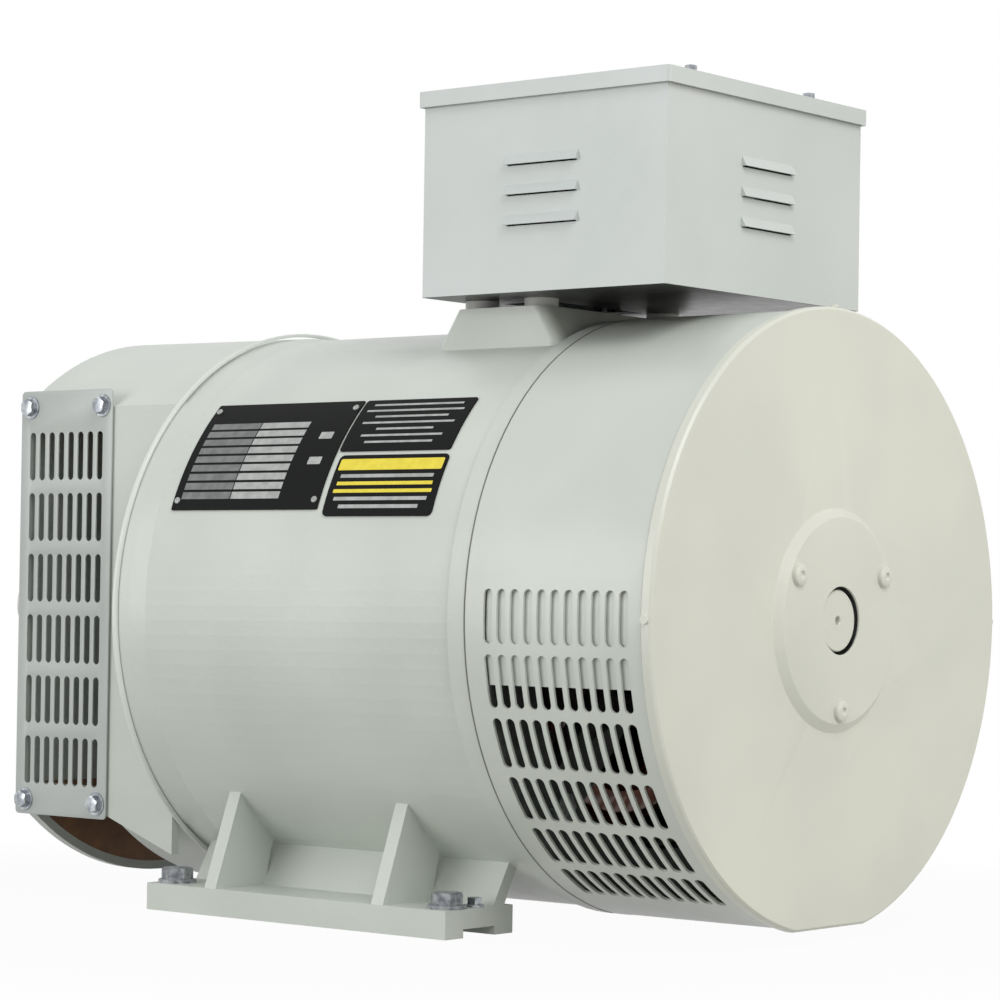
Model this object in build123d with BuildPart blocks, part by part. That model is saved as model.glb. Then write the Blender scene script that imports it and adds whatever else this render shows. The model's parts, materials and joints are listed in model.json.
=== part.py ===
"""Brush-type synchronous generator alternator head on two feet, drive shaft along -X.

The origin is the centre of the foot bolt pattern on the floor plane. +X points to the rear cover, +Z up.
"""

import os
from math import cos, radians, sin, sqrt

from build123d import *

# ---- driving dimensions (mm) ----
shaft_height = 180.0  # centre height of the frame size
foot_hole_spacing_x = 210.0
foot_hole_spacing_y = 279.0
foot_hole_radius = 7.25
foot_length = 232.0
foot_width = 60.0
foot_spread = 308.0  # over both feet
foot_height = 16.0
foot_groove_width = 28.0
foot_groove_depth = 5.0
foot_web = 8.0
foot_web_lean = 18.0  # inward, from the foot up to the barrel
foot_rib_spacing = 130.0
foot_rib_thickness = 9.0
foot_rib_rise = 56.0

frame_front_x = -116.5
frame_length = 259.0
frame_radius = 171.0
frame_wall = 8.0
flange_radius = 174.0
flange_thickness = 12.0

core_center_x = 13.0
core_length = 150.0
core_radius = 140.0
core_bore = 92.0
slot_count = 24
winding_overhang = 38.0
air_gap = 0.8

bell_length = 149.5
bell_radius = 174.0
bell_half_width = 121.0
bell_wall = 6.0
bell_disc = 8.0
duct_length = 74.0
cheek_front_z = 50.0  # lower edge of the duct's cheeks at the front, above the floor
cheek_rear_z = 30.0

grille_thickness = 2.0
grille_length = 81.6
grille_height = 262.0
grille_columns = 8
grille_rows = 6
grille_slot_width = 4.4
grille_slot_height = 30.2
grille_pitch_x = 8.63
grille_pitch_z = 38.4
grille_screw_inset = 8.6

shaft_radius = 24.0  # 48 mm shaft end
shaft_end_length = 110.0
lathe_center_radius = 4.2
bearing_seat_radius = 25.0
bearing_outer_radius = 55.0
bearing_width = 27.0
rotor_seat_radius = 30.0
rear_seat_radius = 20.0
rear_bearing_outer_radius = 40.0
rear_bearing_width = 18.0
seal_thickness = 2.0
hub_wall = 12.0
keyway_width = 14.0
keyway_depth = 5.5
keyway_length = 50.0

sheet = 1.5
cover_length = 126.5  # frame rear face to cap rear face
cap_radius = 176.0
cover_flat = 172.3  # shaft axis down to the flat underside
cap_lip = 6.5
boss_radius = 63.0
boss_height = 4.0
boss_slope = 5.0
cover_hole_radius = 19.2
cover_screw_circle = 50.6
cover_slot_columns = 11
cover_slot_rows = 6
cover_slot_pitch = 8.73
cover_slot_width = 4.4
cover_slot_arc = 9.8  # degrees of arc
cover_row_pitch = 11.7  # degrees
cover_slot_center = 62.0  # from the frame's rear face
bracket_thickness = 14.0
bracket_arm_width = 30.0
baffle_edge_angle = 12.5  # degrees below the shaft's level

neck_center_x = 81.5
neck_top_length = 66.0
neck_foot_length = 91.0
neck_width = 146.0
neck_height = 178.5  # above the shaft axis
neck_taper_height = 20.0
cable_hole_length = 36.0
cable_hole_width = 90.0

spacer_radius = 10.0
spacer_height = 5.0
spacer_spacing_x = 44.0
spacer_spacing_y = 120.0
box_front_x = 45.4
box_length = 173.6
box_width = 196.8
box_height = 118.4
lid_lip = 9.2
lid_overhang = 2.8
lid_screw_inset = 12.0
lid_screw_spacing = 120.0
louvre_length = 51.5
louvre_pitch = 17.2
louvre_height = 7.0
louvre_depth = 3.2
louvre_top_drop = 40.0  # lid's top face down to the top louvre
louvre_count = 3
grommet_radius = 15.0
grommet_inset = 32.0  # from the box's front wall and up from its floor

slip_ring_radius = 32.0
slip_ring_width = 10.0
slip_ring_pitch = 18.0
brush_length = 16.0
brush_width = 8.0
brush_height = 24.0
brush_travel = 5.0
spring_length = 14.0

plate_thickness = 0.8

# ---- clearances (mm) ----
fit_gap = 0.1  # radial, between pieces that are fixed together
running_gap = 0.3  # between pieces that turn or slide past each other

# ---- places worked out from them ----
frame_rear_x = frame_front_x + frame_length
frame_bore = frame_radius - frame_wall
bell_front_x = frame_front_x - bell_length
bell_flange_x = frame_front_x - flange_thickness
cap_rear_x = frame_rear_x + cover_length
cap_front_x = cap_rear_x - cap_lip
core_front_x = core_center_x - core_length / 2
core_rear_x = core_center_x + core_length / 2
rotor_radius = core_bore - air_gap
bracket_rear_x = frame_rear_x + bracket_thickness
front_bearing_x = bell_front_x + bell_disc
rear_hub_x = bracket_rear_x + 44
rear_bearing_x = rear_hub_x - rear_bearing_width - 4
rear_shaft_x = cap_rear_x - 11
ring_front_x = rear_hub_x + 14
bolt_circle = frame_radius - 21
box_floor_z = shaft_height + neck_height + spacer_height
box_top_z = box_floor_z + box_height
box_center_x = box_front_x + box_length / 2
lid_top_z = box_top_z + sheet
band_radius = cap_radius - sheet - fit_gap
band_flat = cover_flat - sheet - fit_gap
neck_top_z = shaft_height + neck_height
grille_center_x = bell_front_x + grille_length / 2
grille_screw_x = grille_length - 2 * grille_screw_inset
grille_screw_z = grille_height - 2 * grille_screw_inset
window_length = (grille_columns - 1) * grille_pitch_x + grille_slot_width + 2
window_height = (grille_rows - 1) * grille_pitch_z + grille_slot_height + 2

shaft_axis = Axis((0, 0, shaft_height), (1, 0, 0))
sides = (-1, 1)
bell_bolt_angles = (22, 158, 202, 338)
bracket_bolt_angles = (45, 135, 225, 315)


def across(x):
    """The plane square to the shaft at x, its own x along +Y and its own y along +Z."""
    return Plane(origin=(x, 0, shaft_height), x_dir=(0, 1, 0), z_dir=(1, 0, 0))


def lengthwise(angle):
    """The plane through the shaft's axis at an angle from +Y: its own x along +X, its own y outward."""
    turn = radians(angle)
    return Plane(origin=(0, 0, shaft_height), x_dir=(1, 0, 0), z_dir=(0, -sin(turn), cos(turn)))


def on_circle(radius, angles):
    """Points on a circle about the shaft, for use on an across() plane."""
    return [(radius * cos(radians(a)), radius * sin(radians(a))) for a in angles]


profile_plane = lengthwise(90)


def save(part, name):
    """Label a finished piece and write it to its own file."""
    part.label = name
    export_step(part, f"parts/{name}.step")


def disc(x_low, x_high, radius, bore=0.0, mode=Mode.ADD):
    """A round plate or ring about the shaft inside the current part."""
    with BuildSketch(across(x_low)) as section:
        Circle(radius)
        if bore:
            Circle(bore, mode=Mode.SUBTRACT)
    extrude(section.sketch, amount=x_high - x_low, dir=(1, 0, 0), mode=mode)


def flat_round(x_low, x_high, radius, flat, mode=Mode.ADD):
    """A round plate about the shaft with a flat underside, the rear cover's outline."""
    with BuildSketch(across(x_low)) as section:
        Circle(radius)
        with Locations((0, -flat - radius / 2)):
            Rectangle(2 * radius, radius, mode=Mode.SUBTRACT)
    extrude(section.sketch, amount=x_high - x_low, dir=(1, 0, 0), mode=mode)


def hex_bolts(name, x_face, points, radius, length, direction):
    """Hexagon bolts along the shaft's direction: heads stand off x_face, shanks run the other way."""
    with BuildPart() as bolts:
        with BuildSketch(across(x_face)):
            with Locations(*points):
                RegularPolygon(radius * 1.8, 6)
        extrude(amount=radius * 1.3 * direction)
        with BuildSketch(across(x_face)):
            with Locations(*points):
                Circle(radius)
        extrude(amount=-length * direction)
    save(bolts.part, name)


os.makedirs("parts", exist_ok=True)

# ---- frame: cast barrel with flanges, feet, ribs, neck and inner core ribs ----
foot_outer_y = foot_spread / 2
foot_inner_y = foot_outer_y - foot_width
web_foot_y = foot_inner_y + 18
web_top_y = web_foot_y - foot_web_lean
web_top_z = shaft_height - sqrt(frame_bore**2 - web_top_y**2)
rib_top_z = foot_height + foot_rib_rise
rib_top_y = sqrt(frame_radius**2 - (shaft_height - rib_top_z) ** 2)
with BuildPart() as frame:
    disc(frame_front_x, frame_rear_x, frame_radius)
    disc(frame_front_x, frame_front_x + flange_thickness, flange_radius)
    disc(frame_rear_x - flange_thickness, frame_rear_x, flange_radius)
    for side in sides:
        # foot pad with its shallow groove, the web up to the barrel and the two gusset ribs
        with BuildSketch(Plane.YZ.offset(-foot_length / 2)):
            with Locations((side * (foot_inner_y + foot_width / 2), foot_height / 2)):
                Rectangle(foot_width, foot_height)
            with Locations((side * (foot_inner_y + foot_width / 2), foot_groove_depth / 2)):
                Rectangle(foot_groove_width, foot_groove_depth, mode=Mode.SUBTRACT)
            with BuildLine():
                Polyline(
                    (side * web_foot_y, foot_height / 2),
                    (side * web_foot_y, foot_height),
                    (side * web_top_y, web_top_z),
                    (side * (web_top_y - foot_web), web_top_z),
                    (side * (web_foot_y - foot_web - 2), foot_height),
                    (side * (web_foot_y - foot_web - 2), foot_height / 2),
                    close=True,
                )
            make_face()
        extrude(amount=foot_length)
        for rib_x in (-foot_rib_spacing / 2, foot_rib_spacing / 2):
            with BuildSketch(Plane.YZ.offset(rib_x - foot_rib_thickness / 2)):
                with BuildLine():
                    Polyline(
                        (side * (foot_outer_y - 1), foot_height),
                        (side * rib_top_y, rib_top_z),
                        (side * (frame_bore * 0.6), rib_top_z),
                        (side * (web_foot_y - 2), foot_height),
                        close=True,
                    )
                make_face()
            extrude(amount=foot_rib_thickness)
    # neck under the control box: straight root, then a taper to its machined top
    with BuildSketch(Plane.XY.offset(shaft_height)):
        with Locations((neck_center_x, 0)):
            RectangleRounded(neck_foot_length, neck_width, 8)
    extrude(amount=neck_height - neck_taper_height)
    with BuildSketch(Plane.XY.offset(neck_top_z - neck_taper_height)):
        with Locations((neck_center_x, 0)):
            RectangleRounded(neck_foot_length, neck_width, 8)
    with BuildSketch(Plane.XY.offset(neck_top_z)):
        with Locations((neck_center_x, 0)):
            RectangleRounded(neck_top_length, neck_width, 8)
    loft()
    disc(frame_front_x, frame_rear_x, frame_bore, mode=Mode.SUBTRACT)
    # eight lengthwise ribs carry the stator core
    with BuildSketch(across(core_front_x)):
        with PolarLocations((frame_bore + core_radius + fit_gap) / 2 + 1, 8, 22.5):
            Rectangle(frame_bore - core_radius - fit_gap + 2, 14)
        Circle(core_radius + fit_gap, mode=Mode.SUBTRACT)
    extrude(amount=core_length)
    # tapped lugs for the bell's bolts in front and the bracket's bolts behind
    for x_low, angles in ((frame_front_x, bell_bolt_angles), (frame_rear_x - 26, bracket_bolt_angles)):
        with BuildSketch(across(x_low)):
            with Locations(*on_circle(bolt_circle, angles)):
                Circle(15)
                Circle(5, mode=Mode.SUBTRACT)
        extrude(amount=26)
    # foot bolt holes, the cable way through the neck and the tapped holes for the box
    with Locations((0, 0, foot_height)):
        with GridLocations(foot_hole_spacing_x, foot_hole_spacing_y, 2, 2):
            Hole(foot_hole_radius, depth=foot_height)
    with Locations((neck_center_x, 0, neck_top_z)):
        Box(cable_hole_length, cable_hole_width, neck_height, mode=Mode.SUBTRACT)
        with GridLocations(spacer_spacing_x, spacer_spacing_y, 2, 2):
            Hole(3.4, depth=14)
save(frame.part, "frame")

# ---- stator: slotted core and its windings ----
slot_depth = 26.0
slot_width = 12.0
with BuildPart() as stator_core:
    disc(core_front_x, core_rear_x, core_radius, core_bore)
    with BuildSketch(across(core_front_x)):
        with PolarLocations(core_bore + slot_depth / 2 - 4, slot_count):
            Rectangle(slot_depth + 8, slot_width)
    extrude(amount=core_length, mode=Mode.SUBTRACT)
save(stator_core.part, "stator_core")

with BuildPart() as stator_windings:
    for x_low in (core_front_x - winding_overhang, core_rear_x + 0.5):
        with BuildSketch(profile_plane):
            with BuildLine():
                # the wound end: a bundle with its corners pressed off
                low_r, high_r, bevel = core_bore + 2, core_bore + slot_depth + 6, 9
                high_x = x_low + winding_overhang - 0.5
                Polyline(
                    (x_low, low_r + bevel),
                    (x_low + bevel, low_r),
                    (high_x - bevel, low_r),
                    (high_x, low_r + bevel),
                    (high_x, high_r - bevel),
                    (high_x - bevel, high_r),
                    (x_low + bevel, high_r),
                    (x_low, high_r - bevel),
                    close=True,
                )
            make_face()
        revolve(axis=shaft_axis)
    with BuildSketch(across(core_front_x - 12)):
        with PolarLocations(core_bore + slot_depth / 2 + 1, slot_count):
            Rectangle(slot_depth - 4, slot_width - 2)
    extrude(amount=core_length + 24)
save(stator_windings.part, "stator_windings")

# ---- drive-end bell: round casting with flat sides, a duct open below and a bearing hub ----
inner_half_width = bell_half_width - bell_wall
hub_radius = bearing_outer_radius + hub_wall
with BuildPart() as drive_end_bell:
    with BuildSketch(across(bell_front_x)):
        Circle(bell_radius)
        Rectangle(2 * bell_half_width, 3 * bell_radius, mode=Mode.INTERSECT)
    extrude(amount=bell_length - flange_thickness)
    disc(bell_flange_x, frame_front_x, flange_radius)
    front_rim = drive_end_bell.edges().filter_by_position(Axis.X, bell_front_x - 1, bell_front_x + 1)
    chamfer(front_rim.filter_by(GeomType.CIRCLE), 1.5)
    with BuildSketch(across(front_bearing_x)):
        Circle(bell_radius - bell_wall)
        Rectangle(2 * inner_half_width, 3 * bell_radius, mode=Mode.INTERSECT)
    extrude(amount=bell_length, mode=Mode.SUBTRACT)
    for side in sides:
        # flat cheeks of the duct, their lower edge dropping towards the flange
        with BuildSketch(Plane.XZ.offset(-side * bell_half_width)):
            with BuildLine():
                Polyline(
                    (bell_front_x + 1, shaft_height),
                    (bell_front_x + 1, cheek_front_z),
                    (bell_front_x + grille_length, cheek_front_z),
                    (bell_flange_x, cheek_rear_z),
                    (bell_flange_x, shaft_height),
                    close=True,
                )
            make_face()
        extrude(amount=side * bell_wall)
    # bearing hub behind the front disc, tied to it by six ribs
    disc(front_bearing_x - 1, front_bearing_x + bearing_width, hub_radius)
    with BuildSketch(across(front_bearing_x - 1)):
        with PolarLocations(hub_radius + 14, 6, 30):
            Rectangle(40, 8)
    extrude(amount=18)
    disc(front_bearing_x, frame_front_x, bearing_outer_radius + fit_gap, mode=Mode.SUBTRACT)
    disc(bell_front_x, frame_front_x, bearing_seat_radius + 3, mode=Mode.SUBTRACT)
    # air windows behind the grilles and the open underside of the duct
    with Locations((grille_center_x, 0, shaft_height)):
        Box(window_length, 3 * bell_half_width, window_height, mode=Mode.SUBTRACT)
    with Locations((front_bearing_x + duct_length / 2, 0, shaft_height - bell_radius)):
        Box(duct_length, 2 * inner_half_width, 2 * (bell_radius - grille_height / 2 + 12), mode=Mode.SUBTRACT)
    with BuildSketch(across(bell_flange_x)):
        with Locations(*on_circle(bolt_circle, bell_bolt_angles)):
            Circle(5.2)
    extrude(amount=flange_thickness, mode=Mode.SUBTRACT)
    with BuildSketch(Plane.XZ.offset(-3 * bell_half_width / 2)):
        with Locations((grille_center_x, shaft_height)):
            with GridLocations(grille_screw_x, grille_screw_z, 2, 2):
                Circle(2.2)
    extrude(amount=3 * bell_half_width, mode=Mode.SUBTRACT)
    with BuildSketch(across(bell_front_x)):
        with PolarLocations(hub_radius - 6, 4, 45):
            Circle(3)
    extrude(amount=20, mode=Mode.SUBTRACT)
save(drive_end_bell.part, "drive_end_bell")

hex_bolts("bell_bolts", bell_flange_x, on_circle(bolt_circle, bell_bolt_angles), 4.9, 32.0, -1)

with BuildPart() as fan_shroud:
    disc(frame_front_x - 3, frame_front_x, inner_half_width - fit_gap, 96)
save(fan_shroud.part, "fan_shroud")

# ---- perforated grille plates on both flat sides of the bell ----
for side, name in zip(sides, ("grille_near", "grille_far")):
    with BuildPart() as grille:
        with BuildSketch(Plane.XZ.offset(-side * bell_half_width)):
            with Locations((grille_center_x, shaft_height)):
                RectangleRounded(grille_length, grille_height, 2)
                with GridLocations(grille_pitch_x, grille_pitch_z, grille_columns, grille_rows):
                    Rectangle(grille_slot_width, grille_slot_height, mode=Mode.SUBTRACT)
                with GridLocations(grille_screw_x, grille_screw_z, 2, 2):
                    Circle(2.2, mode=Mode.SUBTRACT)
        extrude(amount=-side * grille_thickness)
    save(grille.part, name)

with BuildPart() as grille_screws:
    for side in sides:
        face_y = bell_half_width + grille_thickness
        for reach, radius in ((3.4, 4.6), (-grille_thickness - 5, 2.1)):
            with BuildSketch(Plane.XZ.offset(-side * face_y)):
                with Locations((grille_center_x, shaft_height)):
                    with GridLocations(grille_screw_x, grille_screw_z, 2, 2):
                        Circle(radius)
            extrude(amount=-side * reach)
save(grille_screws.part, "grille_screws")

# ---- drive-end bearing cap ----
cap_face_x = bell_front_x - 8
with BuildPart() as bearing_cap:
    disc(cap_face_x, bell_front_x, hub_radius, bearing_seat_radius + 3)
    chamfer(bearing_cap.edges().filter_by(GeomType.CIRCLE).group_by(Axis.X)[0].sort_by(SortBy.RADIUS)[-1], 2)
    with BuildSketch(across(cap_face_x)):
        with PolarLocations(hub_radius - 6, 4, 45):
            Circle(3.2)
    extrude(amount=8, mode=Mode.SUBTRACT)
save(bearing_cap.part, "drive_end_bearing_cap")
hex_bolts("bearing_cap_screws", cap_face_x, on_circle(hub_radius - 6, (45, 135, 225, 315)), 2.9, 20.0, -1)


# ---- ball bearings, sealed on both sides ----
def sealed_bearing(name, x_low, width, bore_radius, outer_radius):
    """Outer ring, inner ring and the seals that close the gap between them, each its own piece."""
    ring_wall = (outer_radius - bore_radius) * 0.27
    with BuildPart() as outer_ring:
        disc(x_low, x_low + width, outer_radius, outer_radius - ring_wall)
    save(outer_ring.part, f"{name}_outer_ring")
    with BuildPart() as inner_ring:
        disc(x_low, x_low + width, bore_radius + ring_wall, bore_radius + fit_gap)
    save(inner_ring.part, f"{name}_inner_ring")
    with BuildPart() as seals:
        for x in (x_low + 0.5, x_low + width - 0.5 - seal_thickness):
            disc(x, x + seal_thickness, outer_radius - ring_wall, bore_radius + ring_wall + running_gap)
    save(seals.part, f"{name}_seals")


sealed_bearing("front_bearing", front_bearing_x, bearing_width, bearing_seat_radius, bearing_outer_radius)
sealed_bearing(
    "rear_bearing", rear_bearing_x, rear_bearing_width, rear_seat_radius, rear_bearing_outer_radius
)

# ---- rear bracket: bolted ring, four arms and the rear bearing hub ----
rear_hub_radius = rear_bearing_outer_radius + hub_wall - 2
with BuildPart() as rear_bracket:
    flat_round(frame_rear_x, bracket_rear_x, band_radius - sheet - fit_gap, band_flat - sheet - fit_gap)
    disc(frame_rear_x, bracket_rear_x, core_radius - 5, mode=Mode.SUBTRACT)
    with BuildSketch(across(frame_rear_x)):
        for angle in (45, 135):
            Rectangle(2 * core_radius, bracket_arm_width, rotation=angle)
    extrude(amount=bracket_thickness)
    disc(frame_rear_x, rear_hub_x, rear_hub_radius)
    for angle in bracket_bolt_angles:
        # gusset from the hub's outside down to the arm
        with BuildSketch(lengthwise(angle).offset(-4)):
            with BuildLine():
                Polyline(
                    (bracket_rear_x - 1, rear_hub_radius - 2),
                    (rear_hub_x - 6, rear_hub_radius - 2),
                    (bracket_rear_x - 1, rear_hub_radius + 55),
                    close=True,
                )
            make_face()
        extrude(amount=8)
    disc(rear_bearing_x, rear_hub_x, rear_bearing_outer_radius + fit_gap, mode=Mode.SUBTRACT)
    disc(frame_rear_x, rear_hub_x, rear_seat_radius + 12, mode=Mode.SUBTRACT)
    with BuildSketch(across(frame_rear_x)):
        with Locations(*on_circle(bolt_circle, bracket_bolt_angles)):
            Circle(5.2)
    extrude(amount=bracket_thickness, mode=Mode.SUBTRACT)
save(rear_bracket.part, "rear_bracket")
hex_bolts("bracket_bolts", bracket_rear_x, on_circle(bolt_circle, bracket_bolt_angles), 4.9, 34.0, 1)

# ---- rear cover: slotted band, end cap, backing ring and the inner air baffle ----
with BuildPart() as cover_band:
    flat_round(frame_rear_x, cap_rear_x - sheet, band_radius, band_flat)
    flat_round(frame_rear_x, cap_rear_x - sheet, band_radius - sheet, band_flat - sheet, Mode.SUBTRACT)
    slot_height = 2 * band_radius * sin(radians(cover_slot_arc / 2))
    slot_x = frame_rear_x + cover_slot_center
    for side in sides:
        for row in range(cover_slot_rows):
            drop = radians(row * cover_row_pitch)
            outward = (0, side * cos(drop), -sin(drop))
            with BuildSketch(Plane(origin=(slot_x, 0, shaft_height), x_dir=(1, 0, 0), z_dir=outward)):
                with GridLocations(cover_slot_pitch, 1, cover_slot_columns, 1):
                    Rectangle(cover_slot_width, slot_height)
            extrude(amount=band_radius + 2, mode=Mode.SUBTRACT)
save(cover_band.part, "rear_cover_band")

backing_low = cap_rear_x + boss_height - sheet - 4
with BuildPart() as cover_cap:
    flat_round(cap_front_x, cap_rear_x, cap_radius, cover_flat)
    rim = cover_cap.edges().filter_by_position(Axis.X, cap_rear_x - 0.1, cap_rear_x + 0.1)
    chamfer(rim, sheet)
    flat_round(cap_front_x, cap_rear_x - sheet, cap_radius - sheet, cover_flat - sheet, Mode.SUBTRACT)
    disc(cap_rear_x - sheet, cap_rear_x, boss_radius, mode=Mode.SUBTRACT)
    with BuildSketch(profile_plane):
        # embossed boss: sloping wall and raised disc, one sheet thick
        with BuildLine():
            Polyline(
                (cap_rear_x - sheet, boss_radius),
                (cap_rear_x, boss_radius),
                (cap_rear_x + boss_height, boss_radius - boss_slope),
                (cap_rear_x + boss_height, cover_hole_radius),
                (cap_rear_x + boss_height - sheet, cover_hole_radius),
                (cap_rear_x + boss_height - sheet, boss_radius - boss_slope - 1),
                close=True,
            )
        make_face()
    revolve(axis=shaft_axis)
    with BuildSketch(across(cap_rear_x - sheet)):
        with PolarLocations(cover_screw_circle, 3, 30):
            Circle(3.1)
    extrude(amount=boss_height + sheet, mode=Mode.SUBTRACT)
save(cover_cap.part, "rear_cover_cap")

with BuildPart() as backing_ring:
    disc(backing_low, backing_low + 4, boss_radius - boss_slope - 1.5, cover_hole_radius + 3)
    with BuildSketch(across(backing_low)):
        with PolarLocations(cover_screw_circle, 3, 30):
            Circle(3.1)
    extrude(amount=4, mode=Mode.SUBTRACT)
save(backing_ring.part, "cover_backing_ring")

with BuildPart() as cover_screws:
    with Locations(across(cap_rear_x + boss_height)):
        with PolarLocations(cover_screw_circle, 3, 30):
            Cylinder(5.5, 3, align=(Align.CENTER, Align.CENTER, Align.MIN))
            Cylinder(3, sheet + 5, align=(Align.CENTER, Align.CENTER, Align.MAX))
save(cover_screws.part, "cover_screws")

baffle_radius = band_radius - sheet - 5
with BuildPart() as air_baffle:
    with BuildSketch(across(bracket_rear_x)):
        Circle(baffle_radius)
        Circle(baffle_radius - sheet, mode=Mode.SUBTRACT)
        with Locations((0, -baffle_radius - baffle_radius * sin(radians(baffle_edge_angle)))):
            Rectangle(3 * baffle_radius, 2 * baffle_radius, mode=Mode.SUBTRACT)
    extrude(amount=cap_rear_x - sheet - bracket_rear_x)
save(air_baffle.part, "air_baffle")

# three screws through the cap's lip into the band
with BuildPart() as lip_screws:
    with Locations(across(cap_rear_x - cap_lip / 2 - 0.4)):
        for angle in (0, 90, 180):
            with Locations(Rotation(0, 0, angle)):
                with Locations(Location((cap_radius, 0, 0), (0, 90, 0))):
                    Cylinder(2.4, 1.6, align=(Align.CENTER, Align.CENTER, Align.MIN))
save(lip_screws.part, "lip_screws")

# ---- rotor: shaft, salient-pole core, field windings, fan and slip rings ----
shaft_front_x = bell_front_x - shaft_end_length
rotor_steps = (
    (shaft_front_x, bell_front_x, shaft_radius),
    (bell_front_x, front_bearing_x + bearing_width, bearing_seat_radius),
    (front_bearing_x + bearing_width, core_rear_x + 30, rotor_seat_radius),
    (core_rear_x + 30, rear_bearing_x, rear_seat_radius + 4),
    (rear_bearing_x, rear_shaft_x, rear_seat_radius),
)
with BuildPart() as shaft:
    for x_low, x_high, radius in rotor_steps:
        disc(x_low, x_high, radius)
    with BuildSketch(across(shaft_front_x)):
        with Locations((0, shaft_radius)):
            Rectangle(keyway_width, 2 * keyway_depth)
    extrude(amount=keyway_length, mode=Mode.SUBTRACT)
    ends = shaft.edges().filter_by(GeomType.CIRCLE).group_by(Axis.X)
    chamfer(ends[0] + ends[-1], 1.5)
    for x_low in (shaft_front_x, rear_shaft_x - lathe_center_radius):
        disc(x_low, x_low + lathe_center_radius, lathe_center_radius, mode=Mode.SUBTRACT)
save(shaft.part, "shaft")

pole_width = 74.0
pole_shoe = 22.0
with BuildPart() as rotor_core:
    with BuildSketch(across(core_front_x)):
        Circle(58)
        for angle in (0, 90):
            Rectangle(2 * rotor_radius, pole_width, rotation=angle)
        with PolarLocations(rotor_radius - pole_shoe / 2, 4):
            Rectangle(pole_shoe, 1.35 * pole_width)
        Circle(rotor_radius, mode=Mode.INTERSECT)
        Circle(rotor_seat_radius + fit_gap, mode=Mode.SUBTRACT)
    extrude(amount=core_length)
save(rotor_core.part, "rotor_core")

coil_overhang = 16.0
coil_low = 50.0
with BuildPart() as field_windings:
    for angle in (0, 90, 180, 270):
        pole_plane = Plane(origin=(core_center_x, 0, shaft_height), z_dir=(0, cos(radians(angle)), sin(radians(angle))),
                           x_dir=(1, 0, 0))
        with BuildSketch(pole_plane.offset(coil_low + 9)):
            RectangleRounded(core_length + 2 * coil_overhang, pole_width + 18, 12)
            Rectangle(core_length + 1, pole_width + 1, mode=Mode.SUBTRACT)
        extrude(amount=rotor_radius - pole_shoe - coil_low - 11)
save(field_windings.part, "field_windings")

fan_rear_x = frame_front_x - 12
fan_front_x = fan_rear_x - 58
fan_radius = 106.0
with BuildPart() as fan:
    disc(fan_front_x, fan_rear_x - 6, 44, rotor_seat_radius + fit_gap)
    disc(fan_front_x, fan_front_x + 5, fan_radius)
    with BuildSketch(across(fan_front_x)):
        with PolarLocations(73, 12):
            Rectangle(64, 4, rotation=12)
        Circle(fan_radius, mode=Mode.INTERSECT)
    extrude(amount=fan_rear_x - fan_front_x)
    disc(fan_front_x, fan_rear_x, rotor_seat_radius + fit_gap, mode=Mode.SUBTRACT)
save(fan.part, "fan")

slip_gap = slip_ring_pitch - slip_ring_width
hub_length = slip_ring_pitch + slip_ring_width + 8
ring_bore = slip_ring_radius - 6
with BuildPart() as slip_ring_hub:
    disc(ring_front_x - 4, ring_front_x - 4 + hub_length, ring_bore - fit_gap, rear_seat_radius + fit_gap)
save(slip_ring_hub.part, "slip_ring_hub")
with BuildPart() as slip_rings:
    for step in (0, 1):
        low = ring_front_x + step * slip_ring_pitch
        disc(low, low + slip_ring_width, slip_ring_radius, ring_bore)
save(slip_rings.part, "slip_rings")

# ---- brush gear above the slip rings ----
brush_low_z = shaft_height + slip_ring_radius
holder_low_z = brush_low_z + 5
holder_high_z = brush_low_z + brush_height + spring_length
holder_length = slip_ring_pitch + slip_ring_width + 6
holder_x = ring_front_x + (slip_ring_pitch + slip_ring_width) / 2
brush_centers = (ring_front_x + slip_ring_width / 2, ring_front_x + slip_ring_width / 2 + slip_ring_pitch)
with BuildPart() as brush_holder:
    foot_x = (rear_hub_x + holder_x + holder_length / 2) / 2
    with Locations((foot_x, 0, (holder_low_z + holder_high_z + 3) / 2)):
        Box(2 * (foot_x - rear_hub_x), brush_length + 12, holder_high_z + 3 - holder_low_z)
    for x in brush_centers:
        with Locations((x, 0, (holder_low_z + holder_high_z) / 2)):
            Box(brush_width + 2 * running_gap, brush_length + 2 * running_gap,
                holder_high_z - holder_low_z, mode=Mode.SUBTRACT)
save(brush_holder.part, "brush_holder")

for x, name in zip(brush_centers, ("front_brush", "rear_brush")):
    with BuildPart() as brush:
        with Locations((x, 0, brush_low_z)):
            Box(brush_width, brush_length, brush_height, align=(Align.CENTER, Align.CENTER, Align.MIN))
        with Locations(across(x)):
            Cylinder(slip_ring_radius + running_gap, 2 * brush_width, mode=Mode.SUBTRACT)
    save(brush.part, name)
    with BuildPart() as spring:
        with Locations((x, 0, brush_low_z + brush_height)):
            Cylinder(3.2, spring_length, align=(Align.CENTER, Align.CENTER, Align.MIN))
            Cylinder(2.2, spring_length, align=(Align.CENTER, Align.CENTER, Align.MIN), mode=Mode.SUBTRACT)
    save(spring.part, f"{name}_spring")

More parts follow.
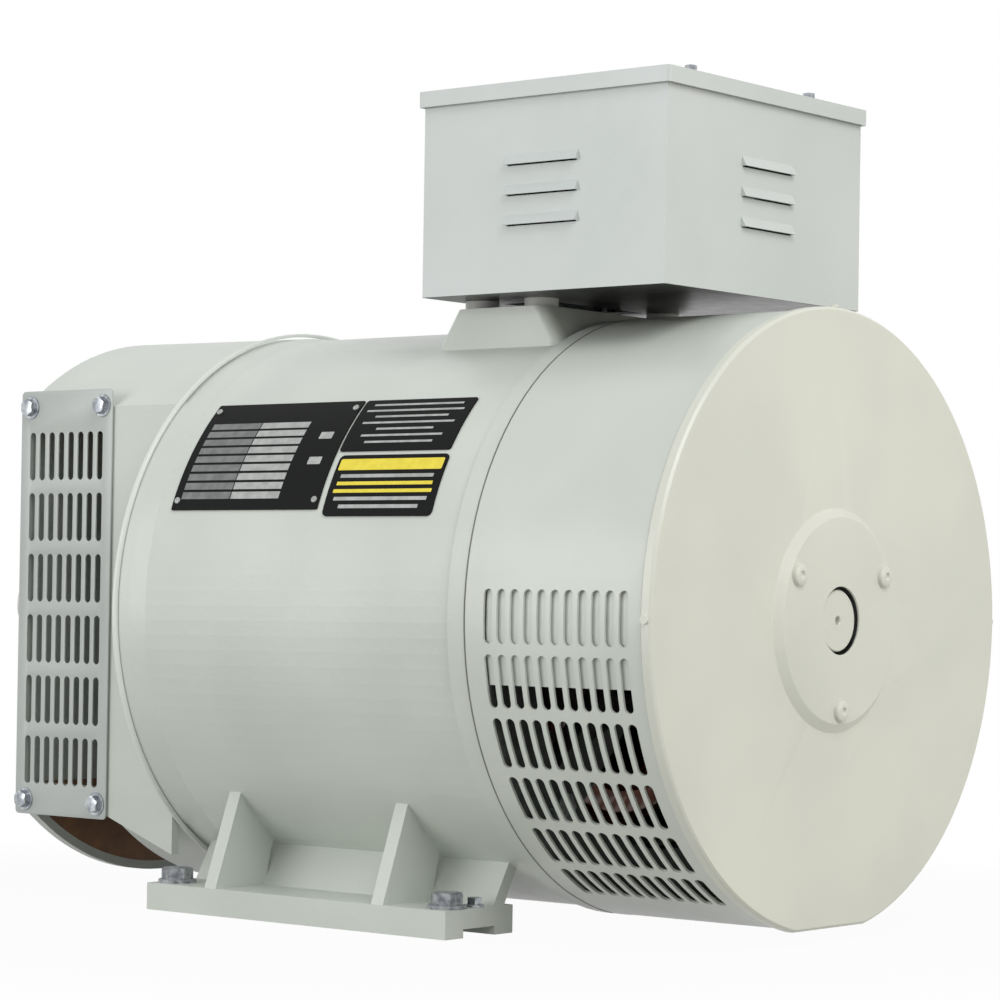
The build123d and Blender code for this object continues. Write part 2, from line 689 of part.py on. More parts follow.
# ---- control box on four spacers ----
with BuildPart() as control_box:
    with Locations((box_center_x, 0, box_floor_z)):
        Box(box_length, box_width, box_height, align=(Align.CENTER, Align.CENTER, Align.MIN))
    with Locations((box_center_x, 0, box_floor_z + sheet)):
        Box(box_length - 2 * sheet, box_width - 2 * sheet, box_height, mode=Mode.SUBTRACT,
            align=(Align.CENTER, Align.CENTER, Align.MIN))
    # turned-in tabs that the lid's screws go into
    with Locations((box_center_x, 0, box_top_z)):
        with GridLocations(box_length - 2 * lid_screw_inset, lid_screw_spacing, 2, 2):
            Box(2 * lid_screw_inset - sheet, 20, sheet, align=(Align.CENTER, Align.CENTER, Align.MAX))
            Hole(2.6, depth=sheet)
    # pressed louvres, open below, on the rear wall and on both long walls
    faces = [(Vector(box_center_x, side * box_width / 2, 0), (0, side, 0)) for side in sides]
    faces.append((Vector(box_front_x + box_length, 0, 0), (1, 0, 0)))
    for middle, outward in faces:
        along = Vector(0, 0, 1).cross(Vector(outward))
        for row in range(louvre_count):
            low_z = lid_top_z - louvre_top_drop - row * louvre_pitch - louvre_height
            corner = middle + Vector(0, 0, low_z) - along * (louvre_length / 2)
            for shrink, mode in ((0.0, Mode.ADD), (sheet * 0.7, Mode.SUBTRACT)):
                start = corner + along * shrink
                with BuildSketch(Plane(origin=start, x_dir=outward, z_dir=along)):
                    with BuildLine():
                        Polyline(
                            (-sheet * 1.2 if shrink else -sheet / 2, -shrink / 2),
                            (louvre_depth - shrink, -shrink / 2),
                            (-sheet * 1.2 if shrink else -sheet / 2, louvre_height - 1.6 * shrink),
                            close=True,
                        )
                    make_face()
                extrude(amount=louvre_length - 2 * shrink, mode=mode)
    with Locations((neck_center_x, 0, box_floor_z + sheet)):
        Box(cable_hole_length, cable_hole_width, 4 * sheet, mode=Mode.SUBTRACT)
        with GridLocations(spacer_spacing_x, spacer_spacing_y, 2, 2):
            Hole(3.4, depth=2 * sheet)
    with BuildSketch(Plane.XZ.offset(-box_width / 2)):
        with Locations((box_front_x + grommet_inset, box_floor_z + grommet_inset)):
            Circle(grommet_radius)
    extrude(amount=2 * sheet, mode=Mode.SUBTRACT)
save(control_box.part, "control_box")

with BuildPart() as grommet:
    grommet_center = (box_front_x + grommet_inset, box_width / 2, box_floor_z + grommet_inset)
    with Locations(Location(grommet_center, (90, 0, 0))):
        Cylinder(grommet_radius + 4, 5 + sheet)
        Cylinder(grommet_radius - 4, 5 + sheet, mode=Mode.SUBTRACT)
        with Locations((0, 0, sheet / 2)):
            Cylinder(grommet_radius + 5, sheet, mode=Mode.SUBTRACT)
            Cylinder(grommet_radius - fit_gap, sheet)
            Cylinder(grommet_radius - 4, sheet, mode=Mode.SUBTRACT)
save(grommet.part, "cable_grommet")

with BuildPart() as box_lid:
    lid_low_z = lid_top_z - lid_lip
    with Locations((box_center_x, 0, lid_low_z)):
        Box(box_length + 2 * lid_overhang, box_width + 2 * lid_overhang, lid_lip,
            align=(Align.CENTER, Align.CENTER, Align.MIN))
    fillet(box_lid.edges().filter_by(Axis.Z), 2)
    with Locations((box_center_x, 0, lid_low_z)):
        Box(box_length + 2 * (lid_overhang - sheet), box_width + 2 * (lid_overhang - sheet),
            lid_lip - sheet, align=(Align.CENTER, Align.CENTER, Align.MIN), mode=Mode.SUBTRACT)
    with Locations((box_center_x, 0, lid_top_z)):
        with GridLocations(box_length - 2 * lid_screw_inset, lid_screw_spacing, 2, 2):
            Hole(2.6, depth=sheet)
save(box_lid.part, "box_lid")

with BuildPart() as lid_screws:
    with Locations((box_center_x, 0, lid_top_z)):
        with GridLocations(box_length - 2 * lid_screw_inset, lid_screw_spacing, 2, 2):
            Cylinder(7, 1.5, align=(Align.CENTER, Align.CENTER, Align.MIN))
            Cylinder(4.6, 6.5, align=(Align.CENTER, Align.CENTER, Align.MIN))
            Cylinder(2.5, 6, align=(Align.CENTER, Align.CENTER, Align.MAX))
save(lid_screws.part, "lid_screws")

with BuildPart() as box_spacers:
    with Locations((neck_center_x, 0, neck_top_z)):
        with GridLocations(spacer_spacing_x, spacer_spacing_y, 2, 2):
            Cylinder(spacer_radius, spacer_height, align=(Align.CENTER, Align.CENTER, Align.MIN))
            Cylinder(3.4, spacer_height, align=(Align.CENTER, Align.CENTER, Align.MIN), mode=Mode.SUBTRACT)
save(box_spacers.part, "box_spacers")

with BuildPart() as box_bolts:
    with Locations((neck_center_x, 0, box_floor_z + sheet)):
        with GridLocations(spacer_spacing_x, spacer_spacing_y, 2, 2):
            Cylinder(6.5, 5, align=(Align.CENTER, Align.CENTER, Align.MIN))
            Cylinder(3.3, spacer_height + sheet + 12, align=(Align.CENTER, Align.CENTER, Align.MAX))
save(box_bolts.part, "box_bolts")

# ---- what the control box holds ----
board_x = box_front_x + box_length - 52
board_z = box_floor_z + sheet
with BuildPart() as terminal_board:
    with Locations((board_x, 0, board_z)):
        for side in sides:
            with Locations((0, side * 66, 0)):
                Box(26, 10, 22, align=(Align.CENTER, Align.CENTER, Align.MIN))
        with Locations((0, 0, 22)):
            Box(40, 150, 10, align=(Align.CENTER, Align.CENTER, Align.MIN))
save(terminal_board.part, "terminal_board")

with BuildPart() as terminal_studs:
    with Locations((board_x, 0, board_z + 32)):
        with GridLocations(1, 30, 1, 4):
            Cylinder(4, 20, align=(Align.CENTER, Align.CENTER, Align.MIN))
            Cylinder(8, 7, align=(Align.CENTER, Align.CENTER, Align.MIN))
save(terminal_studs.part, "terminal_studs")

with BuildPart() as regulator:
    with Locations((box_front_x + sheet, 0, box_floor_z + 70)):
        Box(12, 110, 60, align=(Align.MIN, Align.CENTER, Align.CENTER))
        with Locations((12, 0, 0)):
            with GridLocations(1, 12, 1, 9):
                Box(14, 3, 60, align=(Align.MIN, Align.CENTER, Align.CENTER))
save(regulator.part, "voltage_regulator")


# ---- plates on the barrel: thin sheets bent to its curve, left bare ----
def barrel_plate(name, x_low, x_high, low_angle, high_angle):
    """A thin plate on the -Y side of the barrel between two angles above the shaft's level."""
    inner = frame_radius + fit_gap
    outer = inner + plate_thickness
    with BuildPart() as plate:
        with BuildSketch(across(x_low)):
            with BuildLine():
                start, end = 180 - high_angle, high_angle - low_angle
                CenterArc((0, 0), outer, start, end)
                CenterArc((0, 0), inner, start, end)
                for angle in (start, start + end):
                    Line(*[(r * cos(radians(angle)), r * sin(radians(angle))) for r in (inner, outer)])
            make_face()
        extrude(amount=x_high - x_low)
    save(plate.part, name)


barrel_plate("rating_plate", -94.0, 22.0, 20.0, 45.7)
barrel_plate("instruction_plate", 24.0, 106.5, 32.6, 45.7)
barrel_plate("caution_plate", 27.0, 108.0, 18.6, 31.6)

with BuildPart() as earth_screw:
    with Locations((foot_length / 2 - 6, -web_foot_y - 9, foot_height)):
        Cylinder(4.5, 1.5, align=(Align.CENTER, Align.CENTER, Align.MIN))
        Cylinder(3.4, 5, align=(Align.CENTER, Align.CENTER, Align.MIN))
save(earth_screw.part, "earth_screw")
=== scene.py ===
"""Looks of a foot-mounted generator alternator head: pale enamel on castings and sheet steel, zinc-plated
fasteners, perforated grilles and blank black plates. Every piece is placed from the frame."""

import json
import math

import bmesh
import bpy
from mathutils import Matrix, Vector


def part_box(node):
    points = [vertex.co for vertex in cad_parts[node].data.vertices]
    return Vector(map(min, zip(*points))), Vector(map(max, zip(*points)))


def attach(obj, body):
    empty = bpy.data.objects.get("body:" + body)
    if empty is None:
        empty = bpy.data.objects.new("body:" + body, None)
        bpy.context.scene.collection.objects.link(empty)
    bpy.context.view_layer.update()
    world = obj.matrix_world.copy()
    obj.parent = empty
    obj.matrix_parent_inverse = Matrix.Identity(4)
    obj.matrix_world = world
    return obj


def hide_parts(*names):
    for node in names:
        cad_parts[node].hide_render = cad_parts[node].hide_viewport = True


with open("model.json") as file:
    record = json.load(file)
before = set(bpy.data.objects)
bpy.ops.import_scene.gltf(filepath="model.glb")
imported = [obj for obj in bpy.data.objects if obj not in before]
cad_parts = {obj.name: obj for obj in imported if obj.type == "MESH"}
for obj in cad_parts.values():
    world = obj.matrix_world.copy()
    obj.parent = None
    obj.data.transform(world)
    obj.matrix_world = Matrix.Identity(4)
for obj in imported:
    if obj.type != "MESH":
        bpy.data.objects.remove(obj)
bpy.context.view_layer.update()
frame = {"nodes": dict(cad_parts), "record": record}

nodes = frame["nodes"]
MM = 0.001

# ---- camera, backdrop and light ----
# A long lens from the rear left, level with the shaft, in a bright studio with a pale paper floor.
scene = bpy.context.scene
scene.view_settings.view_transform = "Standard"

camera_turn = math.radians(39.25)
camera_tilt = math.radians(-0.76)
camera_roll = math.radians(0.90)
back = Vector((math.sin(camera_turn) * math.cos(camera_tilt),
               -math.cos(camera_turn) * math.cos(camera_tilt), math.sin(camera_tilt)))
right = Vector((math.cos(camera_turn), math.sin(camera_turn), 0.0))
up = back.cross(right)
rolled_right = right * math.cos(camera_roll) + up * math.sin(camera_roll)
rolled_up = up * math.cos(camera_roll) - right * math.sin(camera_roll)
camera = bpy.data.objects.new("camera", bpy.data.cameras.new("camera"))
scene.collection.objects.link(camera)
camera.data.sensor_width = 36.0
camera.data.lens = 114.7
camera.data.shift_x = 0.0323
camera.data.shift_y = 0.0502
camera.data.clip_end = 100.0
turned_axes = Matrix((rolled_right, rolled_up, back)).transposed()
camera.matrix_world = Matrix.Translation(Vector((1.2395, -1.5145, 0.1926))) @ turned_axes.to_4x4()
scene.camera = camera


def linear(hex_colour):
    """An sRGB hex colour as linear RGBA."""
    parts = [int(hex_colour[i:i + 2], 16) / 255 for i in (1, 3, 5)]
    return [c / 12.92 if c <= 0.04045 else ((c + 0.055) / 1.055) ** 2.4 for c in parts] + [1.0]


def add(tree, kind, links=None, **settings):
    """Add a node; links maps an input to an output socket or a value, settings are its properties."""
    node = tree.nodes.new("ShaderNode" + kind)
    for name, value in settings.items():
        setattr(node, name, value)
    for name, value in (links or {}).items():
        if isinstance(value, bpy.types.NodeSocket):
            tree.links.new(value, node.inputs[name])
        else:
            node.inputs[name].default_value = value
    return node


world = bpy.data.worlds.new("studio")
scene.world = world
world.use_nodes = True
tree = world.node_tree
tree.nodes.clear()
path = add(tree, "LightPath")
seen = add(tree, "Math", {0: path.outputs["Is Camera Ray"], 1: path.outputs["Is Glossy Ray"]}, operation="MAXIMUM")
seen = add(tree, "Math", {0: seen.outputs[0], 1: path.outputs["Is Transmission Ray"]}, operation="MAXIMUM")
room = add(tree, "Background", {"Color": linear("#F6F7F8"), "Strength": 0.53})
white = add(tree, "Background", {"Color": (1, 1, 1, 1), "Strength": 1.0})
mix = add(tree, "MixShader", {0: seen.outputs[0], 1: room.outputs[0], 2: white.outputs[0]})
add(tree, "OutputWorld", {"Surface": mix.outputs[0]})


def soft_box(name, place, aim, size, power, tint="#FFFFFF"):
    """A square area lamp, its size in metres."""
    lamp = bpy.data.objects.new(name, bpy.data.lights.new(name, "AREA"))
    scene.collection.objects.link(lamp)
    lamp.data.size = size
    lamp.data.energy = power
    lamp.data.color = linear(tint)[:3]
    lamp.location = place
    lamp.rotation_euler = (Vector(aim) - Vector(place)).to_track_quat("-Z", "Y").to_euler()


soft_box("key_lamp", (1.9, -0.9, 2.1), (0.0, 0.0, 0.2), 1.4, 32.0)
soft_box("side_lamp", (-1.2, -2.6, 0.7), (-0.1, 0.0, 0.2), 1.6, 26.0)
soft_box("rear_lamp", (2.6, 0.9, 0.8), (0.2, 0.0, 0.2), 1.2, 13.0, "#FFF6E8")

floor_mesh = bpy.data.meshes.new("floor")
floor_mesh.from_pydata([(-6, -6, 0), (6, -6, 0), (6, 6, 0), (-6, 6, 0)], [], [(0, 1, 2, 3)])
floor = bpy.data.objects.new("floor", floor_mesh)
scene.collection.objects.link(floor)
floor.location.z = -0.0005
floor_paper = bpy.data.materials.new("white_floor_paper")
floor_paper.use_nodes = True
tree = floor_paper.node_tree
tree.nodes.clear()
path = add(tree, "LightPath")
place = add(tree, "TexCoord")
away = add(tree, "VectorMath", {0: place.outputs["Object"]}, operation="LENGTH")
share = add(tree, "MapRange", {"Value": away.outputs["Value"], "From Min": 0.36, "From Max": 0.62,
                               "To Min": 0.96, "To Max": 1.0}, interpolation_type="SMOOTHSTEP")
paper = add(tree, "BsdfDiffuse", {"Color": linear("#B8B8B4")})
glow = add(tree, "Emission", {"Color": (1, 1, 1, 1), "Strength": 1.0})
seen = add(tree, "Math", {0: path.outputs["Is Camera Ray"], 1: path.outputs["Is Glossy Ray"]}, operation="MAXIMUM")
seen = add(tree, "Math", {0: seen.outputs[0], 1: path.outputs["Is Transmission Ray"]}, operation="MAXIMUM")
share = add(tree, "Math", {0: seen.outputs[0], 1: share.outputs[0]}, operation="MULTIPLY")
mix = add(tree, "MixShader", {0: share.outputs[0], 1: paper.outputs[0], 2: glow.outputs[0]})
add(tree, "OutputMaterial", {"Surface": mix.outputs[0]})
floor.data.materials.append(floor_paper)


# ---- cast frame ----
# Grey iron barrel with feet, ribs and a neck, sand cast, then filled and sprayed with pale grey-green enamel.
# The film is a little uneven in tone and gloss, and the casting's sand texture shows faintly through it.
def start_material(name, base, roughness, metallic=0.0):
    """A material with a Principled shader; returns it, its tree and the shader."""
    material = bpy.data.materials.new(name)
    material.use_nodes = True
    shader = material.node_tree.nodes["Principled BSDF"]
    shader.inputs["Base Color"].default_value = linear(base)
    shader.inputs["Roughness"].default_value = roughness
    shader.inputs["Metallic"].default_value = metallic
    return material, material.node_tree, shader


def blotches(tree, size_mm, detail=3.0, stretch=(1, 1, 1)):
    """Noise whose blotches are about size_mm across in the object's own space."""
    place = add(tree, "TexCoord")
    spread = add(tree, "Mapping", {"Vector": place.outputs["Object"], "Scale": stretch})
    noise = add(tree, "TexNoise", {"Vector": spread.outputs[0], "Scale": 1 / (size_mm * MM), "Detail": detail})
    return noise.outputs[0]


def tone(tree, share, low, high, low_at=0.35, high_at=0.65):
    """A colour running from low to high as share runs over that stretch."""
    ramp = add(tree, "ValToRGB", {"Fac": share})
    for element, place, colour in zip(ramp.color_ramp.elements, (low_at, high_at), (low, high)):
        element.position = place
        element.color = linear(colour)
    return ramp.outputs["Color"]


def finish_surface(tree, shader, colour, gloss, layers):
    """Wire a colour, a (share, low, high) roughness and bump layers of (height, depth in mm)."""
    share, low, high = gloss
    spread = add(tree, "MapRange", {"Value": share, "To Min": low, "To Max": high})
    tree.links.new(spread.outputs[0], shader.inputs["Roughness"])
    tree.links.new(colour, shader.inputs["Base Color"])
    normal = None
    for height, depth_mm in layers:
        links = {"Height": height, "Distance": depth_mm * MM}
        if normal:
            links["Normal"] = normal
        normal = add(tree, "Bump", links).outputs[0]
    tree.links.new(normal, shader.inputs["Normal"])


def enamel(name, light, dark, under_mm, under_depth, roughness=0.40):
    """Sprayed enamel between two tones over a surface whose own texture is under_mm across."""
    material, tree, shader = start_material(name, light, roughness)
    shader.inputs["Coat Weight"].default_value = 0.15
    shader.inputs["Coat Roughness"].default_value = 0.22
    colour = tone(tree, blotches(tree, 110.0, 2.0), dark, light)
    gloss = (blotches(tree, 9.0, 4.0), roughness - 0.08, roughness + 0.10)
    orange_peel = blotches(tree, 2.4, 1.0)
    under = blotches(tree, under_mm, 4.0)
    finish_surface(tree, shader, colour, gloss, [(orange_peel, 0.020), (under, under_depth)])
    return material


cast_enamel = enamel("sand_cast_iron_enamel", "#D3D8D0", "#CACFC8", 6.0, 0.16)


def dress(node, material):
    """Give a frame node one material."""
    nodes[node].data.materials.clear()
    nodes[node].data.materials.append(material)


def smooth(mesh, limit=32.0):
    """Shade smooth, with edges sharper than limit kept crisp."""
    for face in mesh.polygons:
        face.use_smooth = True
    mesh.set_sharp_from_angle(angle=math.radians(limit))


def piece(name, work, material, body, *stands_for, limit=32.0):
    """Turn a bmesh into a finished piece that rides on a body and may stand for frame nodes."""
    mesh = bpy.data.meshes.new(name)
    work.to_mesh(mesh)
    work.free()
    smooth(mesh, limit)
    mesh.materials.append(material)
    obj = bpy.data.objects.new(name, mesh)
    scene.collection.objects.link(obj)
    if stands_for:
        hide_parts(*stands_for)
    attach(obj, body)
    return obj


def turn_hoods(work, hood_edges):
    """Turn louvre hoods to stand above their edges, and close the flat walls round them again."""
    flats = {}
    for face in work.faces:
        normal = face.normal
        if max(abs(normal.x), abs(normal.y)) > 0.9999:
            depth = round(normal.dot(face.verts[0].co) / MM, 1)
            flats.setdefault((round(normal.x), round(normal.y), depth), set()).add(face)
    walls = [faces for faces in flats.values() if sum(face.calc_area() for face in faces) > 0.005]
    rims = []
    for faces in walls:
        edges = {edge for face in faces for edge in face.edges}
        rims.append([edge for edge in edges if sum(face in faces for face in edge.link_faces) == 1])
    bmesh.ops.delete(work, geom=[face for faces in walls for face in faces], context="FACES_ONLY")
    kept = {edge for rim in rims for edge in rim}
    loose = [edge for edge in work.edges if not edge.link_faces and edge not in kept]
    bmesh.ops.delete(work, geom=loose, context="EDGES")
    for vert in work.verts:
        for edge in hood_edges:
            near = abs(vert.co.y) < 0.030 or abs(vert.co.x - 0.1322) < 0.030
            if near and edge - 9.0 < vert.co.z / MM < edge + 2.0:
                vert.co.z = 2 * edge * MM - vert.co.z
                break
    for rim in rims:
        bmesh.ops.triangle_fill(work, use_beauty=True, edges=rim)
    bmesh.ops.recalc_face_normals(work, faces=work.faces)


def eased(node, material, width_mm, crease=30.0, flange_taper=None, hood_edges=()):
    """The node's own shape with its hard edges broken by width_mm, as a cast or folded edge is.

    flange_taper is (x of the rim, x where it meets the barrel, barrel radius, rise), all in mm. hood_edges are
    the heights of louvre edges: a hood that hangs below its edge is turned to stand above it, open below.
    """
    work = bmesh.new()
    work.from_mesh(nodes[node].data)
    bmesh.ops.remove_doubles(work, verts=work.verts, dist=0.00003)
    bmesh.ops.dissolve_limit(work, angle_limit=math.radians(0.6), verts=work.verts, edges=work.edges)
    if flange_taper:
        rim_x, root_x, barrel, rise = flange_taper
        for vert in work.verts:
            x, y, z = vert.co / MM - Vector((0, 0, 180.0))
            if rim_x < x < root_x + 0.1 and barrel + 0.05 < math.hypot(y, z) < barrel + rise + 0.1:
                reach = (barrel + rise * (root_x - x) / (root_x - rim_x)) / math.hypot(y, z)
                vert.co = Vector((x, y * reach, z * reach + 180.0)) * MM
    if hood_edges:
        turn_hoods(work, hood_edges)
    obj = piece(node + "_eased", work, material, "stator", node, limit=crease)
    rounding = obj.modifiers.new("rounding", "BEVEL")
    rounding.width = width_mm * MM
    rounding.segments = 2
    rounding.limit_method = "ANGLE"
    rounding.angle_limit = math.radians(38)
    rounding.use_clamp_overlap = True
    rounding.harden_normals = True
    return obj


# The drive-end flanges taper down to the barrel, so no step shows where they end.
drive_flange_taper = (-128.4, -104.5, 171.0, 3.0)
eased("frame", cast_enamel, 1.2, flange_taper=drive_flange_taper)

# ---- hold-down bolts ----
# Hexagon bolts on plain washers in the foot holes, black steel dulled by overspray of the frame's enamel.
def turned(work, outline, place, segments=40):
    """Turn an outline of (radius, height) in mm, from its foot to its top, about the Z axis of place."""
    rings = []
    for radius, height in outline:
        turns = [2 * math.pi * k / segments for k in range(segments)]
        points = [(radius * math.cos(t), radius * math.sin(t), height) for t in turns]
        rings.append([work.verts.new(place @ (Vector(p) * MM)) for p in points])
    for low, high in zip(rings, rings[1:]):
        for k in range(segments):
            work.faces.new((low[k], low[k - 1], high[k - 1], high[k])[::-1])
    work.faces.new(rings[0][::-1])
    work.faces.new(rings[-1])


def hexagon(work, across_flats, foot, height, place, segments=48):
    """A hexagon head with its top corners turned off at 30 degrees, sizes in mm."""
    flat = across_flats / 2
    corner = flat / math.cos(math.pi / 6)
    drop = (corner - flat) * math.tan(math.pi / 6)
    rings = [[], [], []]
    for k in range(segments):
        turn = 2 * math.pi * k / segments
        reach = flat / math.cos((turn % (math.pi / 3)) - math.pi / 6)
        lost = drop * (reach - flat) / (corner - flat)
        for ring, radius, z in zip(rings, (reach, reach, flat * 0.93), (foot, height - lost, height)):
            ring.append(work.verts.new(place @ (Vector((radius * math.cos(turn), radius * math.sin(turn), z)) * MM)))
    for low, high in zip(rings, rings[1:]):
        for k in range(segments):
            work.faces.new((low[k - 1], low[k], high[k], high[k - 1]))
    work.faces.new(rings[0][::-1])
    work.faces.new(rings[2])


def pointing(place_mm, toward, spin=0.0):
    """A place whose Z axis points toward a direction."""
    turn = Vector(toward).to_track_quat("Z", "Y").to_matrix().to_4x4()
    return Matrix.Translation(Vector(place_mm) * MM) @ turn @ Matrix.Rotation(spin, 4, "Z")


def oversprayed_steel():
    """Black oxide steel under a thin uneven film of enamel: grey and dull."""
    material, tree, shader = start_material("oversprayed_black_steel", "#8F9396", 0.45, 0.25)
    mottle = blotches(tree, 4.0, 5.0)
    colour = tone(tree, mottle, "#676A72", "#A3A6A8", 0.38, 0.62)
    finish_surface(tree, shader, colour, (mottle, 0.36, 0.60), [(blotches(tree, 1.6), 0.06)])
    return material


bolt_steel = oversprayed_steel()
holes = frame["record"]["mounts"][0]["dims"]
foot_top = 16.0
work = bmesh.new()
for side_x in (-1, 1):
    for side_y in (-1, 1):
        hole = (side_x * holes["spacing_x_mm"] / 2, side_y * holes["spacing_y_mm"] / 2, foot_top)
        place = pointing(hole, (0, 0, 1), 0.35 * side_x)
        turned(work, ((11.4, 0.0), (11.4, 1.6), (10.9, 2.1), (6.0, 2.1)), place)
        hexagon(work, 16.5, 2.1, 9.0, place)
        turned(work, ((5.9, -15.0), (5.9, 2.4)), place, 24)
piece("hold_down_bolts", work, bolt_steel, "stator")

work = bmesh.new()
screw_low, screw_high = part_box("earth_screw")
middle = (screw_low + screw_high) / 2 / MM
hexagon(work, 8.0, 1.4, 5.4, pointing((middle.x, middle.y, foot_top), (0, 0, 1), 0.2))
turned(work, ((5.4, 0.0), (5.4, 1.2), (5.0, 1.5)), pointing((middle.x, middle.y, foot_top), (0, 0, 1)))


def zinc():
    """Bright zinc plating: a pale, slightly blue metal with a fine uneven sheen and soft highlights."""
    material, tree, shader = start_material("bright_zinc_plated_steel", "#AEB3B8", 0.28, 1.0)
    cloud = blotches(tree, 3.0, 3.0)
    colour = tone(tree, cloud, "#8C9198", "#B9BDC0")
    finish_surface(tree, shader, colour, (cloud, 0.20, 0.40), [(blotches(tree, 0.9), 0.015)])
    return material


zinc_plate = zinc()
piece("earth_terminal_screw", work, zinc_plate, "stator", "earth_screw")


# ---- stator core and windings ----
# Punched electrical steel sheets pressed into the barrel, with varnished copper coils laid in their slots.
def banded(name, light, dark, pitch_mm, axis, roughness, metallic, depth):
    """A surface of fine bands side by side along an axis: stacked sheets or wound wires."""
    material, tree, shader = start_material(name, light, roughness, metallic)
    place = add(tree, "TexCoord")
    bands = add(tree, "TexWave", {"Vector": place.outputs["Object"], "Scale": 0.314 / (pitch_mm * MM) / 1.0,
                                  "Distortion": 0.4, "Detail": 1.0}, bands_direction=axis)
    cloud = blotches(tree, 14.0, 3.0)
    both = add(tree, "Math", {0: bands.outputs[0], 1: cloud}, operation="MULTIPLY")
    colour = tone(tree, both.outputs[0], dark, light, 0.05, 0.55)
    finish_surface(tree, shader, colour, (cloud, roughness - 0.06, roughness + 0.1), [(bands.outputs[0], depth)])
    return material


# Sheets 0.5 mm thick are too fine to show, so they are drawn 2 mm apart.
dress("stator_core", banded("stacked_silicon_steel_sheets", "#7D7F80", "#3F4244", 2.0, "X", 0.42, 0.8, 0.10))
copper_wire = banded("varnished_copper_wire", "#A4562E", "#5A2A16", 1.6, "X", 0.30, 0.35, 0.25)
copper_wire.node_tree.nodes["Principled BSDF"].inputs["Coat Weight"].default_value = 0.6
dress("stator_windings", copper_wire)


# ---- drive-end bell ----
# Cast iron bell round the fan, flat on both sides, open below. Outside it has the frame's enamel; inside it
# keeps a thin coat of red-brown primer that looks dark brown.
def primed_inside():
    """The frame's enamel outside, and dull red-brown primer wherever the casting faces the fan."""
    material, tree, shader = start_material("enamel_outside_primer_inside", "#D3D8D0", 0.42)
    place = add(tree, "TexCoord")
    axes = add(tree, "SeparateXYZ", {0: place.outputs["Object"]})
    shaft_height, bore_radius, half_width, disc_back = 0.180, 0.1684, 0.1154, -0.2584
    height = add(tree, "Math", {0: axes.outputs["Z"], 1: shaft_height}, operation="SUBTRACT")
    y_squared = add(tree, "Math", {0: axes.outputs["Y"], 1: 2.0}, operation="POWER")
    z_squared = add(tree, "Math", {0: height.outputs[0], 1: 2.0}, operation="POWER")
    radius = add(tree, "Math", {0: y_squared.outputs[0], 1: z_squared.outputs[0]}, operation="ADD")
    within_round = add(tree, "Math", {0: radius.outputs[0], 1: bore_radius ** 2}, operation="LESS_THAN")
    side = add(tree, "Math", {0: axes.outputs["Y"]}, operation="ABSOLUTE")
    within_sides = add(tree, "Math", {0: side.outputs[0], 1: half_width}, operation="LESS_THAN")
    behind_disc = add(tree, "Math", {0: axes.outputs["X"], 1: disc_back}, operation="GREATER_THAN")
    inside = add(tree, "Math", {0: within_round.outputs[0], 1: within_sides.outputs[0]}, operation="MULTIPLY")
    inside = add(tree, "Math", {0: inside.outputs[0], 1: behind_disc.outputs[0]}, operation="MULTIPLY")
    film = tone(tree, blotches(tree, 110.0, 2.0), "#CACFC8", "#D3D8D0")
    primer = tone(tree, blotches(tree, 16.0, 5.0), "#6A4A2E", "#8C6440")
    colour = add(tree, "Mix", {0: inside.outputs[0], 6: film, 7: primer}, data_type="RGBA")
    gloss = add(tree, "Math", {0: inside.outputs[0], 1: 0.5}, operation="MULTIPLY")
    finish_surface(tree, shader, colour.outputs[2], (gloss.outputs[0], 0.40, 0.85),
                   [(blotches(tree, 2.4, 1.0), 0.020), (blotches(tree, 6.0, 4.0), 0.16)])
    return material


bell_finish = primed_inside()
eased("drive_end_bell", bell_finish, 1.2, flange_taper=drive_flange_taper)

# The bell's rim stands just proud of the frame's, machined round, and catches the light all the way round. Its
# enamel is painted lighter than the frame's, a painted highlight along the rim.
work = bmesh.new()
bead = [(174.0 + 2.0 * math.sin(math.radians(15 * k)), -126.6 - 2.0 * math.cos(math.radians(15 * k)))
        for k in range(13)]
turned(work, bead,
       Matrix.Translation((0, 0, 0.180)) @ Matrix.Rotation(math.radians(90), 4, "Y"), 128)
bmesh.ops.delete(work, geom=[face for face in work.faces if len(face.verts) > 4], context="FACES")
bmesh.ops.bridge_loops(work, edges=[edge for edge in work.edges if len(edge.link_faces) == 1])
bmesh.ops.recalc_face_normals(work, faces=work.faces)
rim_enamel_painted_highlight = enamel("enamel_painted_highlight_on_rim", "#E2E7DF", "#DADFD7", 20.0, 0.03, 0.30)
piece("flange_rim_bead", work, rim_enamel_painted_highlight, "stator")

# The shroud's primer is painted near black: painted shade for the dark inside of the bell, seen through the grilles.
dress("fan_shroud", enamel("pressed_sheet_primer_darkened_as_shade", "#2B2926", "#1E1C1A", 12.0, 0.05, 0.6))


# ---- grille plates ----
# Steel sheets with rows of round-ended slots punched through, sprayed a greyer enamel, held on the bell's flat
# sides by four screws each.
def punched_sheet(outlines, thickness, edge):
    """A flat sheet in mm between its outer outline and the holes' outlines, its edges eased by edge."""
    curve = bpy.data.curves.new("sheet", "CURVE")
    curve.dimensions = "2D"
    curve.fill_mode = "BOTH"
    curve.extrude = (thickness / 2 - edge) * MM
    curve.bevel_depth = edge * MM
    curve.bevel_resolution = 1
    curve.offset = -edge * MM
    for outline in outlines:
        spline = curve.splines.new("POLY")
        spline.points.add(len(outline) - 1)
        for point, (x, y) in zip(spline.points, outline):
            point.co = (x * MM, y * MM, 0, 1)
        spline.use_cyclic_u = True
    holder = bpy.data.objects.new("sheet", curve)
    scene.collection.objects.link(holder)
    bpy.context.view_layer.update()
    mesh = bpy.data.meshes.new_from_object(holder.evaluated_get(bpy.context.evaluated_depsgraph_get()))
    bpy.data.objects.remove(holder)
    work = bmesh.new()
    work.from_mesh(mesh)
    bpy.data.meshes.remove(mesh)
    bmesh.ops.remove_doubles(work, verts=work.verts, dist=0.000002)
    return work


